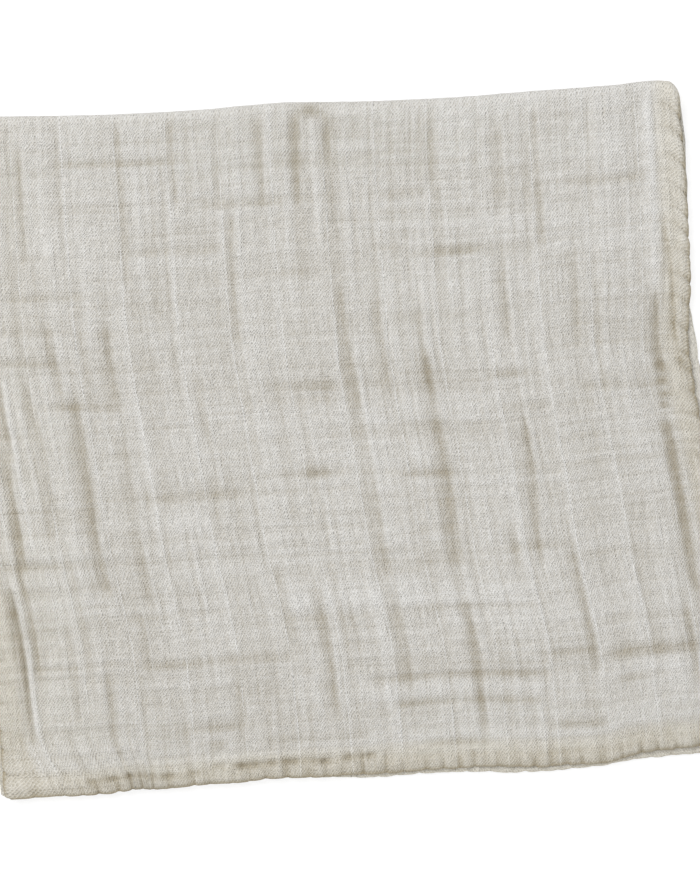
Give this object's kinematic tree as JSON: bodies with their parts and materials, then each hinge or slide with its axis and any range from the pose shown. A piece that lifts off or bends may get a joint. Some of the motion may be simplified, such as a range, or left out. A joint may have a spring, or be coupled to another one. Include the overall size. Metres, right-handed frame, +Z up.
{
  "type": "burp cloth",
  "caption": "Cream cotton muslin burp cloth with turned and stitched edges, folded in half across its length and lying flat, with a crinkled surface.",
  "frame": {"origin": "centre of the folded cloth's plan outline, on the surface it lies on", "axes": "+Z up from that surface, +X across the cloth along its hems (longest extent), +Y towards the fold"},
  "size_m": [0.312, 0.2662, 0.0068],
  "materials": {
    "cotton_muslin": "undyed cream crinkled cotton muslin, matt, several gauze layers bonded by fine warpwise lines"
  },
  "bodies": {
    "root": {"burp_cloth": "cotton_muslin"}
  },
  "joints": []
}
